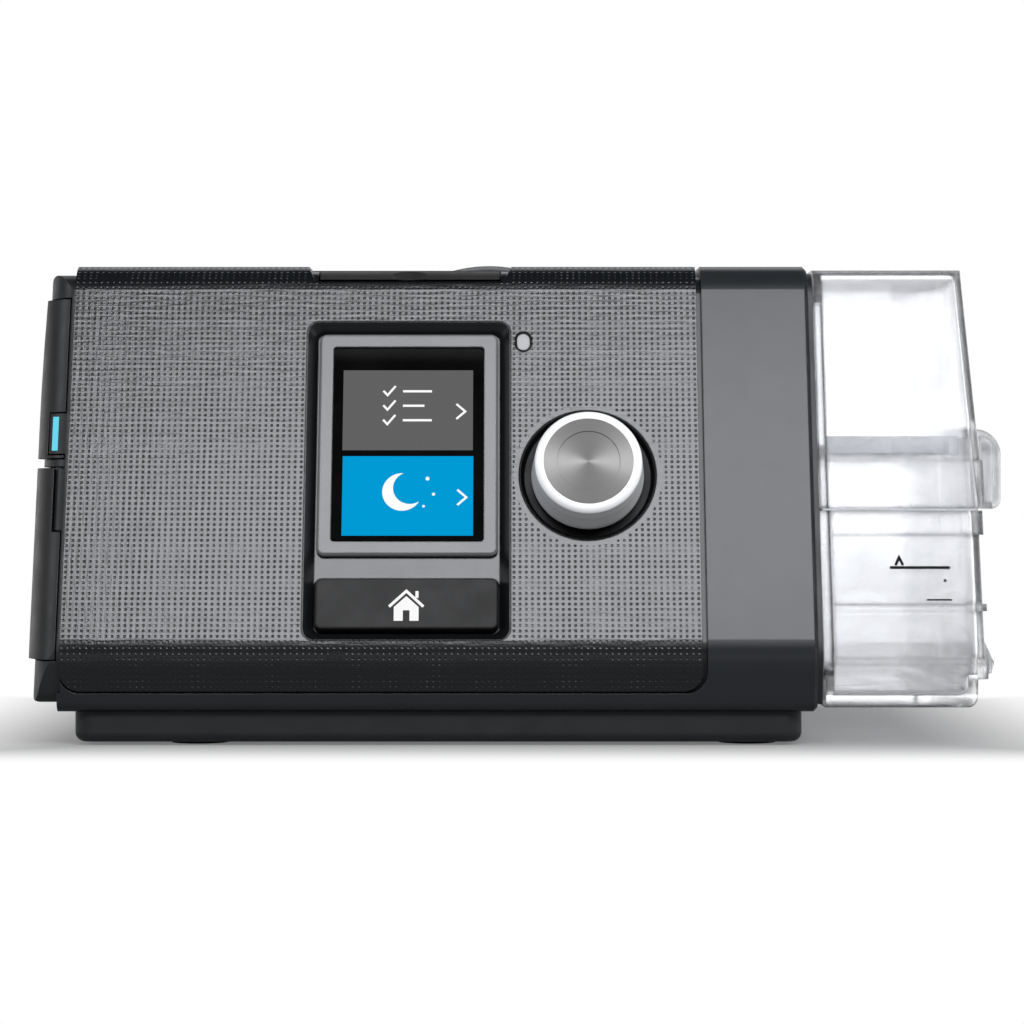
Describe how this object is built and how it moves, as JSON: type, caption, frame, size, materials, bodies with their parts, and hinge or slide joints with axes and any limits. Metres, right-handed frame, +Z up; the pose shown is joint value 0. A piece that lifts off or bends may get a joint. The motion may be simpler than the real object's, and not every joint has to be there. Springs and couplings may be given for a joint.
{
  "type": "cpap machine",
  "caption": "Bedside CPAP machine: sloped case with screen, home key, start bar and push dial, and a clear water tub that slides out of a heated bay.",
  "frame": {"origin": "on the table, under the middle of the bounding box", "axes": "+X along the machine towards the water tub, +Y to the rear, +Z up"},
  "size_m": [0.208, 0.15, 0.1095],
  "materials": {
    "fascia_grey": "fine dimpled, satin",
    "case_graphite": "satin",
    "chassis_dark": "fine matt",
    "door_black": "matt",
    "recess_black": "satin",
    "button_grey": "soft matt",
    "bezel_silver": "satin silver",
    "screen_black": "polished",
    "lcd": "flat",
    "board_green": "solder mask",
    "chip_black": "moulded",
    "dial_metal": "polished",
    "dial_face": "spun",
    "steel": "turned",
    "contact_brass": "polished",
    "sensor_white": "clear",
    "led_blue": "diffuse",
    "tub_clear": "clear polycarbonate",
    "insert_grey": "translucent",
    "seal_grey": "soft",
    "foam_grey": "open cell",
    "rubber_black": "matt",
    "heater_alu": "plain",
    "filter_white": "fibre pad",
    "housing_white": "moulded",
    "magnet_dark": "coated",
    "copper": "wound",
    "card_blue": "moulded"
  },
  "bodies": {
    "machine": {"base_chassis": "chassis_dark", "rubber_feet": "rubber_black", "main_casing": "case_graphite", "front_fascia": "fascia_grey", "rear_cover": "case_graphite", "case_screws": "steel", "left_end_cap": "chassis_dark", "led_light_pipe": "led_blue", "adapter_port": "chassis_dark", "sd_card_reader": "steel", "hinge_pins": "steel", "display_surround": "recess_black", "screen_bezel": "bezel_silver", "screen_glass": "screen_black", "lcd_module": "lcd", "display_board": "board_green", "sensor_ring": "rubber_black", "sensor_lens": "sensor_white", "dial_well": "recess_black", "encoder_body": "steel", "start_switch_board": "board_green", "bay_liner": "chassis_dark", "heater_plate": "heater_alu", "heater_foam": "foam_grey", "port_seals": "seal_grey", "blower_lower_housing": "housing_white", "blower_upper_housing": "housing_white", "motor_stator": "copper", "motor_bearings": "steel", "blower_mounts": "rubber_black", "pressure_duct": "housing_white", "outlet_duct": "housing_white", "air_outlet_port": "chassis_dark", "flow_sensor": "chip_black", "muffler_foam": "foam_grey", "air_filter": "filter_white", "filter_frame": "chassis_dark", "power_socket": "chassis_dark", "socket_pins": "contact_brass", "main_board": "board_green", "board_components": "chip_black"},
    "adapter_door": {"adapter_cover": "door_black"},
    "card_door": {"sd_card_cover": "door_black"},
    "card": {"sd_card": "card_blue"},
    "filter_door": {"filter_cover": "case_graphite"},
    "plug_clip": {"retention_clip": "chassis_dark"},
    "home_key": {"home_button": "button_grey"},
    "start_bar": {"start_button": "button_grey"},
    "dial_plunger": {"encoder_plunger": "contact_brass"},
    "dial": {"dial_ring": "dial_metal", "dial_cap": "dial_face", "dial_shaft": "steel"},
    "water_tub": {"tub_base": "tub_clear", "tub_plate": "heater_alu", "tub_lid": "tub_clear", "tub_seal": "seal_grey", "lid_insert": "insert_grey"},
    "blower_rotor": {"impeller": "housing_white", "motor_axle": "steel", "motor_rotor": "magnet_dark"}
  },
  "joints": [
    {"name": "adapter_cover_hinge", "type": "hinge", "parent": "machine", "child": "adapter_door", "pos_m": [-0.1015, -0.02, 0.0777], "axis": [0, 0, -1], "range_deg": [0, 90]},
    {"name": "sd_card_cover_hinge", "type": "hinge", "parent": "machine", "child": "card_door", "pos_m": [-0.1015, -0.02, 0.0381], "axis": [0, 0, -1], "range_deg": [0, 90]},
    {"name": "sd_card_push", "type": "slide", "parent": "machine", "child": "card", "axis": [1, 0, 0], "range_m": [0, 0.001], "stiffness_N_per_m": 300, "springref_m": -0.0004},
    {"name": "filter_cover_hinge", "type": "hinge", "parent": "machine", "child": "filter_door", "pos_m": [-0.0895, 0.06145, 0.055], "axis": [0, 0, 1], "range_deg": [0, 90]},
    {"name": "retention_clip_hinge", "type": "hinge", "parent": "machine", "child": "plug_clip", "pos_m": [0.0193, 0.06475, 0.0311], "axis": [1, 0, 0], "range_deg": [0, 100]},
    {"name": "home_button_press", "type": "slide", "parent": "machine", "child": "home_key", "axis": [0, 0.9483, -0.3173], "range_m": [0, 0.0008], "stiffness_N_per_m": 600, "springref_m": -0.0006},
    {"name": "start_button_press", "type": "slide", "parent": "machine", "child": "start_bar", "axis": [0, 0, -1], "range_m": [0, 0.0004], "stiffness_N_per_m": 1200, "springref_m": -0.0004},
    {"name": "dial_press", "type": "slide", "parent": "machine", "child": "dial_plunger", "axis": [0, 0.9483, -0.3173], "range_m": [0, 0.0008], "stiffness_N_per_m": 1800, "springref_m": -0.0008},
    {"name": "dial_turn", "type": "hinge", "parent": "dial_plunger", "child": "dial", "pos_m": [0.015, -0.06288, 0.05674], "axis": [0, -0.9483, 0.3173], "continuous": true},
    {"name": "water_tub_slide", "type": "slide", "parent": "machine", "child": "water_tub", "axis": [1, 0, 0], "range_m": [0, 0.06]},
    {"name": "blower_spin", "type": "hinge", "parent": "machine", "child": "blower_rotor", "pos_m": [-0.052, 0.008, 0.05], "axis": [0, 0, 1], "continuous": true}
  ]
}
